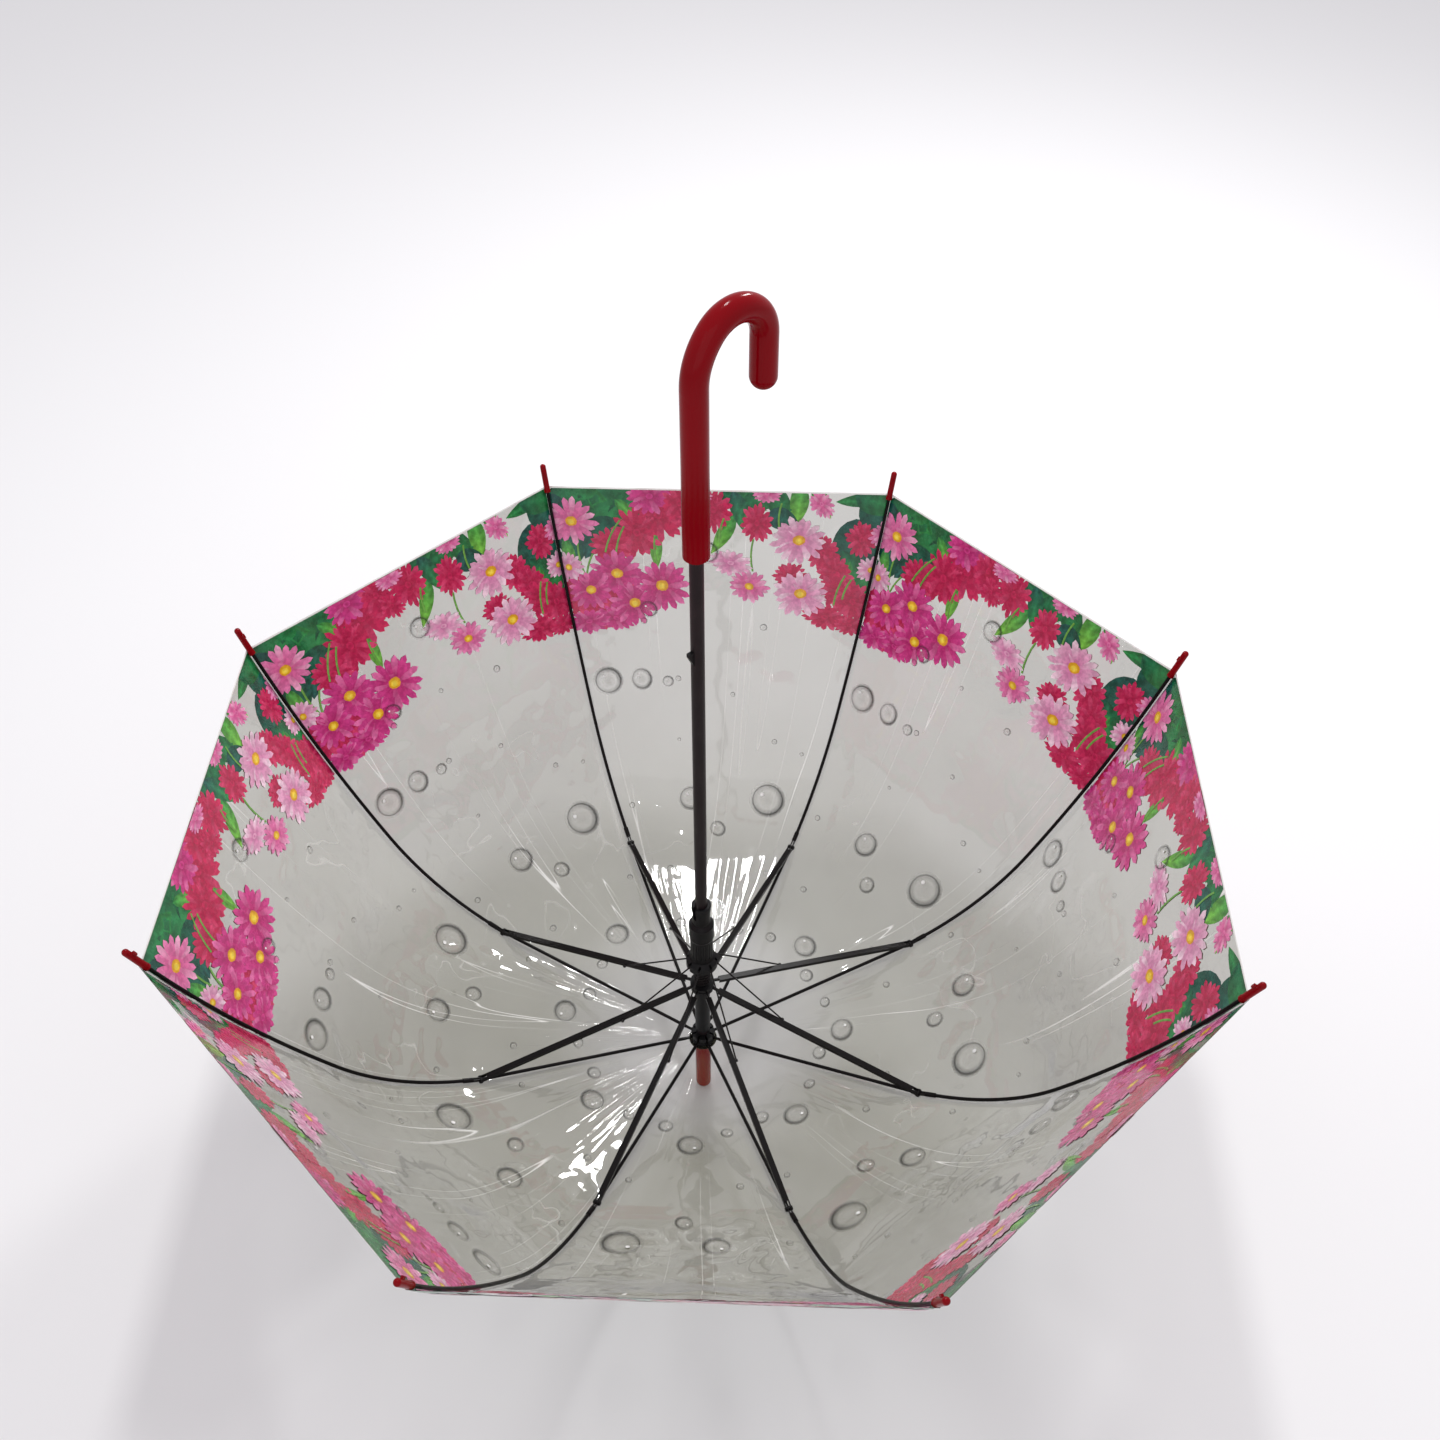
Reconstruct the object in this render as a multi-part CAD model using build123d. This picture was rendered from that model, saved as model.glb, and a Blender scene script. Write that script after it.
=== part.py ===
"""Clear bubble umbrella with an automatic opening linkage, modelled open, hanging by its crook handle.

Millimetres. The origin is the tip of the ferrule, on the shaft's axis. +Z runs up the shaft to the handle and
+X points the way the crook turns. "Height" below always means the distance above the crown's pivot circle.
Each rib, stretcher and pull wire lies in one upright plane through the shaft, so it is drawn in the XZ plane
and turned into place. A stretcher is as long as the rib between the crown and their joint, so the slider at
its foot moves straight along the shaft as the ribs fold.
"""

from build123d import *
from math import atan2, cos, degrees, hypot, radians, sin, tan
import os

os.makedirs("parts", exist_ok=True)

# ---- overall sizes -------------------------------------------------------------------------------
RIBS = 8
TIP_R = 425.0  # shaft axis to the end of a rib cap
TIP_H = 338.0  # height of that end
JOINT_R = 203.0  # shaft axis to the pin that joins rib and stretcher
JOINT_H = 40.0
PIVOT_R = 8.5  # radius of the two wire rings that the ribs and the stretchers hang on
FERRULE_TIP_H = -84.0
GRIP_H = 568.0  # where the handle's grip begins
CROOK_H = 699.0  # where the straight grip ends and the crook begins
CROOK_LEAD_R = 46.0  # the crook's first eighth of a turn is wider
CROOK_R = 26.0
CROOK_END = 31.0  # straight end of the crook
RIB_START_BEND = -31.3  # degrees, the outer rib's slope at its start against the line from joint to tip
RIB_MIDDLE_BEND = 2.7
RIB_TIP_BEND = 14.2
PULL_SHARE = 0.34  # where the pull wire meets the stretcher, as a share of the stretcher's length
PULL_R = 12.0  # shaft axis to the pull wires' seats on the runner
PULL_H = 115.0
CATCH_H = 479.0

# ---- sections ------------------------------------------------------------------------------------
SHAFT_R = 5.0
SHAFT_WALL = 0.8
RIB_WIRE_R = 1.5
TONGUE = 1.2  # thickness of the flat tongues and eyes
CROWN_TONGUE = 11.0  # length of a rib's flat tongue at the crown
JOINT_TONGUE = 10.0  # and at the joint
WIRE_BITE = 3.0  # the round wire is flattened over this length, and runs into the tongue
EYE_R = 1.9
RING_WIRE_R = 0.5
RIVET_R = 0.8
RIVET_HEAD_R = 1.7
RIVET_HEAD = 0.6
SHEET = 0.6  # stretcher's folded sheet, and the fork's cheeks
CHANNEL_DEPTH = 3.6
CHANNEL_START = 7.0  # from the slider's pivot to the stretcher's channel
CHANNEL_STOP = 6.0  # the channel's back stops this far before the joint
FOOT_LENGTH = 14.0  # the stretcher's flat foot
EAR_RIM = 0.4  # the ears are wider than the channel by this, all round
CHEEK_LENGTH = 9.0
CHEEK_BITE = 2.0  # length of the cheeks inside the socket
SOCKET_R = 2.1
SOCKET_LENGTH = 9.0
PULL_WIRE_R = 0.7
PULL_PIN_R = 0.6
PULL_EYE = 1.0  # thickness of the pull wire's flattened ends
PULL_EYE_R = 1.5
PULL_EYE_BITE = 1.2  # the pull wire starts this far from its eye's centre
PIN_HEAD = 0.5
CAP_R = 2.7
CAP_LENGTH = 27.0
CAP_BORE = 21.0
CAP_COLLAR = 2.2  # length of the collar at the cap's mouth
CAP_COLLAR_RIM = 0.25
LUG_LENGTH = 4.0
LUG_HALF = 0.9
LUG_RISE = 1.8
FILM = 0.3
FILM_GAP = 3.3  # rib axis to the film's inner face
FILM_START = 33.5  # how far along a rib the film comes up to it
FILM_HEM_BACK = 22.0  # the film stops this far short of the end of the caps
CROWN_R = 10.5
CROWN_TOP = 6.0
CROWN_BASE = -5.0
WASHER = 1.2
WASHER_R = 12.5
WASHER_CHAMFER = 0.5
SLIDER_TOP = 3.6  # top and base of the slider's slotted head, from its pivot circle
SLIDER_BASE = -3.6
SLEEVE_R = 6.6
SLEEVE_LENGTH = 64.0  # of the slider, down to just above the crown
SPRING_WIRE_R = 0.55
SPRING_R = 6.9
SPRING_TURNS = 14
RUNNER_MOUTH = 79.0  # the runner's features, from the circle of the pull wires' seats
RUNNER_BASE = -4.0
RUNNER_CHAMBER = 27.0
RUNNER_CHAMBER_R = 7.8
RUNNER_FLANGE_R = 13.5
RUNNER_BODY_R = 9.5
RUNNER_FLUTES = 16
RUNNER_RING_R = 10.6
RUNNER_NECK_R = 7.5
RUNNER_LIP_R = 8.3
GRIP_R = 9.2
SOCKET = 45.0  # how far the shaft goes into the grip and into the ferrule
FERRULE_R = 7.0
FERRULE_RIM_R = 8.6
CATCH_WIDTH = 3.0
CATCH_REACH = 9.0  # shaft axis to the catch's outer edge
CATCH_HEIGHT = 12.0

# ---- fits ----------------------------------------------------------------------------------------
RUN_GAP = 0.4  # between a sliding sleeve and the shaft
FIX_GAP = 0.05  # between pieces that are glued or pressed together
PIN_GAP = 0.1  # between a pin or ring and the eye that turns on it
SIDE_GAP = 0.3  # between the sides of pieces that turn or slide past each other

# ---- derived -------------------------------------------------------------------------------------
CROWN_Z = -FERRULE_TIP_H
LINK = hypot(JOINT_R - PIVOT_R, JOINT_H)  # crown pivot to joint, and slider pivot to joint
RIB_SLOPE = degrees(atan2(JOINT_H, JOINT_R - PIVOT_R))
CHORD_SLOPE = degrees(atan2(TIP_H - JOINT_H, TIP_R - JOINT_R))
START_SLOPE = CHORD_SLOPE + RIB_START_BEND
MIDDLE_SLOPE = CHORD_SLOPE + RIB_MIDDLE_BEND
TIP_SLOPE = CHORD_SLOPE + RIB_TIP_BEND
LEAD = CHEEK_LENGTH - CHEEK_BITE + SOCKET_LENGTH  # the outer rib is straight through its socket
SLIDER_H = 2 * JOINT_H
SLOT = TONGUE + 2 * SIDE_GAP
FORK_IN = TONGUE / 2 + SIDE_GAP / 2
FORK_OUT = FORK_IN + SHEET
EAR_IN = max(RIB_WIRE_R + SIDE_GAP, FORK_OUT + SIDE_GAP)
EAR_OUT = EAR_IN + SHEET
HEAD_IN = EAR_OUT + SIDE_GAP / 2
RUN_R = SHAFT_R + RUN_GAP
PULL_Y = EAR_OUT + SIDE_GAP + PULL_WIRE_R  # the pull wire runs beside the stretcher
PULL_FOOT = PULL_SHARE * LINK
FERRULE_TOP_H = CROWN_BASE - FIX_GAP - FILM - FIX_GAP - WASHER - FIX_GAP
STEP = 360.0 / RIBS


def at(r, h):
    """A point in the XZ plane, from its distance to the shaft's axis and its height."""
    return Vector(r, 0, CROWN_Z + h)


def heading(slope):
    return Vector(cos(radians(slope)), 0, sin(radians(slope)))


def along(start, slope, shape):
    """Puts a shape drawn along +X at start, running outwards at that slope; its +Z faces the handle."""
    direction = heading(slope)
    frame = Plane(origin=start, x_dir=direction, z_dir=direction.cross(Vector(0, 1, 0)))
    return frame.location * shape


def span(x0, x1, y0, y1, z0, z1):
    """A box between two corners."""
    return Pos((x0 + x1) / 2, (y0 + y1) / 2, (z0 + z1) / 2) * Box(x1 - x0, y1 - y0, z1 - z0)


def across(x, radius, y0, y1):
    """A cylinder along Y, centred on the X axis."""
    return Pos(x, (y0 + y1) / 2, 0) * Rot(90, 0, 0) * Cylinder(radius, y1 - y0)


def rod(x0, x1, radius):
    return Pos((x0 + x1) / 2, 0, 0) * Rot(0, 90, 0) * Cylinder(radius, x1 - x0)


def disc(radius, h0, h1):
    """A cylinder round the shaft's axis between two heights."""
    return Pos(0, 0, CROWN_Z + (h0 + h1) / 2) * Cylinder(radius, h1 - h0)


def both_sides(shape):
    return shape + mirror(shape, about=Plane.XZ)


def azimuth(i):
    return STEP * (i - 0.5)


def round_the_shaft(shape):
    """One copy of a shape in each rib's plane."""
    return [Rot(0, 0, azimuth(i)) * shape for i in range(1, RIBS + 1)]


def save_each(shape, name):
    for i, copy in enumerate(round_the_shaft(shape), start=1):
        export_step(copy, f"parts/{name}_{i}.step")


# ---- ribs ----------------------------------------------------------------------------------------
def arc_lengths():
    """Lengths of the two arcs that lead a rib from its socket to its cap at the stated slopes."""
    chords = []
    for low, high in ((START_SLOPE, MIDDLE_SLOPE), (MIDDLE_SLOPE, TIP_SLOPE)):
        half = radians(high - low) / 2
        chords.append(heading((low + high) / 2) * (sin(half) / half))
    reach = at(TIP_R, TIP_H) - at(JOINT_R, JOINT_H)
    reach -= heading(START_SLOPE) * LEAD + heading(TIP_SLOPE) * CAP_LENGTH
    first, second = chords
    det = first.X * second.Z - second.X * first.Z
    length_a = (reach.X * second.Z - reach.Z * second.X) / det
    length_b = (first.X * reach.Z - first.Z * reach.X) / det
    return length_a, length_b


ARC_A, ARC_B = arc_lengths()
MIDDLE = LEAD + ARC_A
ROD_END = MIDDLE + ARC_B


def rib_slope(s):
    """Slope of the rib at length s past its joint, in degrees."""
    if s <= 0:
        return RIB_SLOPE
    if s <= MIDDLE:
        return START_SLOPE + (MIDDLE_SLOPE - START_SLOPE) * max(s - LEAD, 0) / ARC_A
    return MIDDLE_SLOPE + (TIP_SLOPE - MIDDLE_SLOPE) * min(s - MIDDLE, ARC_B) / ARC_B


def rib_point(s, outwards=0.0):
    """The rib's axis at length s past its joint, or a point that far from it on the film's side."""
    point = at(JOINT_R, JOINT_H) + heading(RIB_SLOPE) * min(s, 0)
    point += heading(START_SLOPE) * min(max(s, 0), LEAD)
    for start, length, low in ((LEAD, ARC_A, START_SLOPE), (MIDDLE, ARC_B, MIDDLE_SLOPE)):
        part = min(max(s - start, 0), length)
        if part > 0:
            half = radians(rib_slope(start + part) - low) / 2
            point += heading(low + degrees(half)) * (part * sin(half) / half)
    point += heading(TIP_SLOPE) * max(s - ROD_END, 0)
    slope = radians(rib_slope(s))
    return point + Vector(sin(slope), 0, -cos(slope)) * outwards


def rib():
    """The inner length of a rib: a wire with a flat eye at the crown, and a flat end that holds the rivet."""
    wire = rod(CROWN_TONGUE - WIRE_BITE, LINK - JOINT_TONGUE + WIRE_BITE, RIB_WIRE_R)
    tongues = span(0, CROWN_TONGUE, -TONGUE / 2, TONGUE / 2, -RIB_WIRE_R, RIB_WIRE_R)
    tongues += span(LINK - JOINT_TONGUE, LINK, -TONGUE / 2, TONGUE / 2, -RIB_WIRE_R, RIB_WIRE_R)
    tongues += across(0, EYE_R, -TONGUE / 2, TONGUE / 2) + across(LINK, EYE_R, -TONGUE / 2, TONGUE / 2)
    rivet = across(LINK, RIVET_R, -HEAD_IN - RIVET_HEAD, HEAD_IN + RIVET_HEAD)
    rivet += both_sides(across(LINK, RIVET_HEAD_R, HEAD_IN, HEAD_IN + RIVET_HEAD))
    body = wire + tongues + rivet - across(0, RING_WIRE_R + PIN_GAP, -TONGUE, TONGUE)
    return along(at(PIVOT_R, 0), RIB_SLOPE, body)


def rib_end():
    """The outer length of a rib: a fork and socket at the joint, and a rod that the film holds bent."""
    cheek = span(0, CHEEK_LENGTH, FORK_IN, FORK_OUT, -RIB_WIRE_R, RIB_WIRE_R)
    cheek += across(0, EYE_R, FORK_IN, FORK_OUT)
    fork = both_sides(cheek) - across(0, RIVET_R + PIN_GAP, -FORK_OUT - 1, FORK_OUT + 1)
    fork += rod(CHEEK_LENGTH - CHEEK_BITE, LEAD, SOCKET_R)
    path = Wire(
        [
            Line(rib_point(CHEEK_LENGTH - CHEEK_BITE / 2), rib_point(LEAD)),
            ThreePointArc(rib_point(LEAD), rib_point(LEAD + ARC_A / 2), rib_point(MIDDLE)),
            ThreePointArc(rib_point(MIDDLE), rib_point(MIDDLE + ARC_B / 2), rib_point(ROD_END)),
            Line(rib_point(ROD_END), rib_point(ROD_END + CAP_BORE - 2)),
        ]
    )
    section = Plane(origin=path @ 0, z_dir=path % 0) * Circle(RIB_WIRE_R)
    return along(at(JOINT_R, JOINT_H), START_SLOPE, fork) + sweep(section, path=path)


def cap():
    """Plastic tip pushed over the rod's end, round at its end, with a lug for the film's corner."""
    body = rod(0, CAP_LENGTH - CAP_R, CAP_R) + Pos(CAP_LENGTH - CAP_R, 0, 0) * Sphere(CAP_R)
    collar = rod(0, CAP_COLLAR, CAP_R + CAP_COLLAR_RIM)
    lug = span(CAP_BORE - LUG_LENGTH, CAP_BORE, -LUG_HALF, LUG_HALF, 0, CAP_R + LUG_RISE)
    bore = rod(-1, CAP_BORE, RIB_WIRE_R + FIX_GAP)
    return along(rib_point(ROD_END), TIP_SLOPE, body + collar + lug - bore)


# ---- stretchers and pull wires -------------------------------------------------------------------
def stretcher():
    """A folded channel with ears round the joint, a flat foot in the slider and a pin for the pull wire."""
    half = CHANNEL_DEPTH / 2
    body = span(CHANNEL_START, LINK - CHANNEL_STOP, -EAR_OUT, EAR_OUT, half - SHEET, half)
    side = span(CHANNEL_START, LINK, EAR_IN, EAR_OUT, -half, half)
    body += both_sides(side + across(LINK, half + EAR_RIM, EAR_IN, EAR_OUT))
    foot = span(0, FOOT_LENGTH, -TONGUE / 2, TONGUE / 2, -RIB_WIRE_R, half)
    body += foot + across(0, EYE_R, -TONGUE / 2, TONGUE / 2)
    body -= across(LINK, RIVET_R + PIN_GAP, -EAR_OUT - 1, EAR_OUT + 1)
    body -= across(0, RING_WIRE_R + PIN_GAP, -TONGUE, TONGUE)
    pin_top = PULL_Y + PULL_EYE / 2 + PIN_GAP
    body += across(PULL_FOOT, PULL_PIN_R, -EAR_OUT - PIN_HEAD, pin_top + PIN_HEAD)
    body += across(PULL_FOOT, 2 * PULL_PIN_R, pin_top, pin_top + PIN_HEAD)
    return along(at(PIVOT_R, SLIDER_H), -RIB_SLOPE, body)


def pull_wire():
    """A thin wire flattened at both ends: an eye on the stretcher's pin and a tab in the runner's flange."""
    foot = at(PIVOT_R, SLIDER_H) + heading(-RIB_SLOPE) * PULL_FOOT
    reach = at(PULL_R, PULL_H) - foot
    length = reach.length
    low, high = PULL_Y - PULL_EYE / 2, PULL_Y + PULL_EYE / 2
    body = Pos(0, PULL_Y, 0) * rod(PULL_EYE_BITE, length - PULL_EYE_BITE, PULL_WIRE_R)
    body += across(0, PULL_EYE_R, low, high) + across(length, PULL_EYE_R, low, high)
    body -= across(0, PULL_PIN_R + PIN_GAP, low - 1, high + 1)
    return along(foot, degrees(atan2(reach.Z, reach.X)), body)


# ---- crown, slider and their wires ---------------------------------------------------------------
def ring_groove(h):
    """What is cut from a crown or slider to take its wire ring, which is laid in from outside."""
    return disc(2 * CROWN_R, h - RING_WIRE_R - FIX_GAP, h + RING_WIRE_R + FIX_GAP) - disc(
        PIVOT_R - RING_WIRE_R - FIX_GAP, h - 1, h + 1
    )


def ring_wire(h):
    return Pos(0, 0, CROWN_Z + h) * Torus(PIVOT_R, RING_WIRE_R)


def slots(h0, h1):
    """Slots for the flat ends of the ribs or stretchers, open outwards."""
    low = PIVOT_R - EYE_R - SIDE_GAP
    slot = span(low, 2 * CROWN_R, -SLOT / 2, SLOT / 2, CROWN_Z + h0, CROWN_Z + h1)
    return Compound(children=round_the_shaft(slot))


def crown():
    body = disc(CROWN_R, CROWN_BASE, CROWN_TOP) - disc(SHAFT_R + FIX_GAP, CROWN_BASE - 1, CROWN_TOP + 1)
    return body - slots(-EYE_R - SIDE_GAP, CROWN_TOP + 1) - ring_groove(0)


def slider():
    """The sliding hub: a slotted head for the stretchers, and a sleeve towards the crown."""
    top, base = SLIDER_H + SLIDER_TOP, SLIDER_H + SLIDER_BASE
    foot = base - SLEEVE_LENGTH
    body = disc(CROWN_R, base, top) + disc(SLEEVE_R, foot, base + 1)
    body -= disc(RUN_R, foot - 1, top + 1)
    body -= slots(base - 1, SLIDER_H + EYE_R + SIDE_GAP)
    return body - ring_groove(SLIDER_H)


def spring():
    """The opening spring, pressed between the slider and the inside of the runner."""
    low = SLIDER_H + SLIDER_TOP + SPRING_WIRE_R + SIDE_GAP
    high = PULL_H + RUNNER_CHAMBER - SPRING_WIRE_R - SIDE_GAP
    path = Pos(0, 0, CROWN_Z + low) * Helix((high - low) / SPRING_TURNS, high - low, SPRING_R)
    section = Plane(origin=path @ 0, z_dir=path % 0) * Circle(SPRING_WIRE_R)
    return sweep(section, path=path, is_frenet=True)


def runner():
    """The hand-moved runner: flange with seats for the pull wires, fluted body, finger ring, neck and lip."""
    outline = [
        (RUN_R, RUNNER_BASE),
        (RUNNER_FLANGE_R, RUNNER_BASE),
        (RUNNER_FLANGE_R, 3.0),
        (RUNNER_BODY_R, 6.0),
        (RUNNER_BODY_R, 34.0),
        (RUNNER_RING_R, 37.0),
        (RUNNER_RING_R, 53.0),
        (RUNNER_NECK_R, 57.0),
        (RUNNER_NECK_R, RUNNER_MOUTH - 6.0),
        (RUNNER_LIP_R, RUNNER_MOUTH - 5.0),
        (RUNNER_LIP_R, RUNNER_MOUTH - 0.8),
        (RUNNER_LIP_R - 0.8, RUNNER_MOUTH),
        (RUN_R, RUNNER_MOUTH),
    ]
    edge = Polyline(*[at(r, PULL_H + h) for r, h in outline], close=True)
    body = revolve(make_face(edge), Axis.Z, 360)
    body -= disc(RUNNER_CHAMBER_R, PULL_H + RUNNER_BASE - 1, PULL_H + RUNNER_CHAMBER)
    seat_in = PULL_R - PULL_EYE_R - SIDE_GAP
    half = PULL_WIRE_R + SIDE_GAP
    base = CROWN_Z + PULL_H + RUNNER_BASE
    seat = span(seat_in, 2 * PULL_R, PULL_Y - half, PULL_Y + half, base - 1, base + 12)
    body -= Compound(children=round_the_shaft(seat))
    flute = Pos(RUNNER_BODY_R + 0.6, 0, CROWN_Z + PULL_H + 22) * Cylinder(1.1, 20)
    body -= Compound(children=[Rot(0, 0, 360 * i / RUNNER_FLUTES) * flute for i in range(RUNNER_FLUTES)])
    catch_half = CATCH_WIDTH / 2 + SIDE_GAP
    mouth = CROWN_Z + PULL_H + RUNNER_MOUTH
    return body - span(-2 * PULL_R, 0, -catch_half, catch_half, mouth - CATCH_HEIGHT - 3, mouth + 1)


# ---- shaft, ferrule and handle -------------------------------------------------------------------
def shaft():
    low, high = FERRULE_TOP_H - SOCKET + 1, GRIP_H + SOCKET - 1
    body = disc(SHAFT_R, low, high) - disc(SHAFT_R - SHAFT_WALL, low - 1, high + 1)
    half = CATCH_WIDTH / 2 + SIDE_GAP
    tall = CATCH_HEIGHT / 2 + SIDE_GAP
    middle = CROWN_Z + CATCH_H
    return body - span(-2 * SHAFT_R, 0, -half, half, middle - tall, middle + tall)


def catch():
    """The catch that holds the closed runner: ramped towards the crown, square towards the handle."""
    half = CATCH_HEIGHT / 2
    outline = Polyline(
        at(-0.5, CATCH_H - half),
        at(-SHAFT_R, CATCH_H - half),
        at(-CATCH_REACH, CATCH_H + half - 3),
        at(-CATCH_REACH, CATCH_H + half),
        at(-0.5, CATCH_H + half),
        close=True,
    )
    return extrude(make_face(outline), amount=CATCH_WIDTH / 2, dir=(0, 1, 0), both=True)


def washer():
    """The washer that presses the film against the crown."""
    top = FERRULE_TOP_H + FIX_GAP + WASHER
    body = disc(WASHER_R, top - WASHER, top) - disc(SHAFT_R + FIX_GAP, top - WASHER - 1, top + 1)
    lower_edges = body.edges().group_by(Axis.Z)[0]
    return chamfer(lower_edges.sort_by(SortBy.RADIUS)[-1:], WASHER_CHAMFER)


def ferrule():
    body = disc(FERRULE_R, FERRULE_TIP_H + FERRULE_R, FERRULE_TOP_H)
    body += Pos(0, 0, FERRULE_R) * Sphere(FERRULE_R)
    rim = disc(FERRULE_RIM_R, FERRULE_TOP_H - 4, FERRULE_TOP_H)
    body += chamfer(rim.edges().group_by(Axis.Z)[0], 1.2)
    return body - disc(SHAFT_R + FIX_GAP, FERRULE_TOP_H - SOCKET, FERRULE_TOP_H + 1)


def turn(start, slope_0, slope_1, radius):
    """An arc in the XZ plane that bends towards +X, between two directions."""
    centre = start + Vector(sin(radians(slope_0)), 0, -cos(radians(slope_0))) * radius
    points = []
    for share in (0, 0.5, 1):
        slope = radians(slope_0 + (slope_1 - slope_0) * share)
        points.append(centre - Vector(sin(slope), 0, -cos(slope)) * radius)
    return ThreePointArc(*points)


def handle():
    """A moulded grip that turns into a crook, on a blind socket for the shaft."""
    lead = turn(at(0, CROOK_H), 90, 45, CROOK_LEAD_R)
    bend = turn(lead @ 1, 45, -90, CROOK_R)
    end = (bend @ 1) - Vector(0, 0, CROOK_END)
    path = Wire([Line(at(0, GRIP_H), at(0, CROOK_H)), lead, bend, Line(bend @ 1, end)])
    body = sweep(Pos(at(0, GRIP_H)) * Circle(GRIP_R), path=path)
    body = chamfer(body.edges().sort_by(lambda edge: edge.center().Z)[:1], 1.2)
    body += Pos(end) * Sphere(GRIP_R)
    return body - disc(SHAFT_R + FIX_GAP, GRIP_H - 1, GRIP_H + SOCKET)


# ---- film ----------------------------------------------------------------------------------------
def squeezed(point):
    """The same place on a gore's middle line, where the flat film is nearer the shaft than at the ribs."""
    return Vector(point.X * cos(radians(STEP / 2)), 0, point.Z)


def film_line(depth):
    """The film's run from the crown to the hem, at a gore's middle, at a depth below its inner face."""
    out = FILM_GAP + depth
    flat = CROWN_BASE - FIX_GAP - depth
    bends = [at(SHAFT_R + 1.4, flat), at(WASHER_R, flat)]
    bends += [rib_point(s, out) for s in (FILM_START - LINK, -3, 3, LEAD)]
    lines = [Polyline(*[squeezed(point) for point in bends])]
    for low, high in ((LEAD, MIDDLE), (MIDDLE, ROD_END)):
        points = [squeezed(rib_point(low + (high - low) * i / 6, out)) for i in range(7)]
        lines.append(Spline(*points, tangents=[points[1] - points[0], points[-1] - points[-2]]))
    hem = squeezed(rib_point(ROD_END + CAP_LENGTH - FILM_HEM_BACK, out))
    lines.append(Line(lines[-1] @ 1, hem))
    return lines


def gore():
    """One of the eight panels welded along the ribs: straight from rib to rib, curved from crown to hem."""
    inner, outer = film_line(0), film_line(FILM)
    edges = inner + outer + [Line(inner[0] @ 0, outer[0] @ 0), Line(inner[-1] @ 1, outer[-1] @ 1)]
    section = make_face(Wire([edge for line in edges for edge in line.edges()]))
    wide = TIP_R * tan(radians(STEP / 2))
    panel = extrude(section, amount=wide, dir=(0, 1, 0), both=True)
    corner = Vector(2 * TIP_R, 2 * wide, 0)
    wedge = make_face(Polyline((0, 0, 0), corner, corner - Vector(0, 4 * wide, 0), close=True))
    return panel & extrude(wedge, amount=CROWN_Z + TIP_H)


save_each(rib(), "rib")
save_each(rib_end(), "rib_end")
save_each(cap(), "cap")
save_each(stretcher(), "stretcher")
save_each(pull_wire(), "pull_wire")
singles = {
    "crown": crown(),
    "crown_wire": ring_wire(0),
    "slider": slider(),
    "slider_wire": ring_wire(SLIDER_H),
    "spring": spring(),
    "runner": runner(),
    "shaft": shaft(),
    "catch": catch(),
    "washer": washer(),
    "ferrule": ferrule(),
    "handle": handle(),
}
for name, shape in singles.items():
    export_step(shape, f"parts/{name}.step")
panel = gore()
for i in range(1, RIBS + 1):
    export_step(Rot(0, 0, STEP * i) * panel, f"parts/gore_{i}.step")
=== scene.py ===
# %% [markdown]
# Clear bubble umbrella: the looks.
# The umbrella stands open and upside down, ferrule down and crook up, as its frame model is stored. The
# frame model already holds every hard piece at its real size. This lesson gives those pieces their finishes
# and then makes what a frame model cannot show: the thin glossy film, the printed flowers and drops, and the
# spring.

# %% Load the frame
import math
import bmesh
import bpy
from mathutils import Matrix, Vector


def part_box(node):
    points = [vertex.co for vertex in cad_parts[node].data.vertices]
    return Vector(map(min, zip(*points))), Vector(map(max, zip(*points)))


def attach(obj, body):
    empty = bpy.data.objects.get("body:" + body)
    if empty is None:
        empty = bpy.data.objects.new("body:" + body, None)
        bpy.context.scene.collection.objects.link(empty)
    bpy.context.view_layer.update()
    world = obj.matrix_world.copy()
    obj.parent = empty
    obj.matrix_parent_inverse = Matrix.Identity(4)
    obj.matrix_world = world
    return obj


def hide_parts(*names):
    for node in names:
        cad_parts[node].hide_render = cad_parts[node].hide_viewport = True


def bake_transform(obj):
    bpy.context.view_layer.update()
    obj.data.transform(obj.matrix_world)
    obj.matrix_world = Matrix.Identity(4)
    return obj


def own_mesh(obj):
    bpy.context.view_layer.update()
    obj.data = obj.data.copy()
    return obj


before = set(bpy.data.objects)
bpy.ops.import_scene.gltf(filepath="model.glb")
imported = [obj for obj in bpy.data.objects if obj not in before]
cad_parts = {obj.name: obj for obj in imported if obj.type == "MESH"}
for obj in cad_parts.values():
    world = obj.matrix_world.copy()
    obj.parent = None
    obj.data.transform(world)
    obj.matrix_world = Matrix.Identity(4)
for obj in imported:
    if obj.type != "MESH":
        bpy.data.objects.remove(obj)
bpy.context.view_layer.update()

# %% [markdown]
# Every new piece starts as a bmesh. One helper turns it into an object that sits at the origin, so that its
# place is in its mesh, as the frame's own pieces are.

# %% A helper for new pieces
scene = bpy.context.scene


def finish_mesh(name, shape, smooth=False):
    """Turns a bmesh into an object in the scene, with its place in its mesh."""
    mesh = bpy.data.meshes.new(name)
    shape.to_mesh(mesh)
    shape.free()
    if smooth:
        mesh.shade_smooth()
    piece = bpy.data.objects.new(name, mesh)
    scene.collection.objects.link(piece)
    return piece


print("new pieces go in the collection", scene.collection.name)

# %% [markdown]
# A studio for a see-through object. A pale floor and pale light all round show the film by what it hides and
# by what it mirrors. Two small bright lamps hang where the creases near the crown mirror them, as streaks. A
# third lamp is large and soft, so that it leaves no patch of its own on the film.

# %% Floor and light
shape = bmesh.new()
bmesh.ops.create_grid(shape, x_segments=1, y_segments=1, size=6)
floor = finish_mesh("studio_floor", shape)


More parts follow.
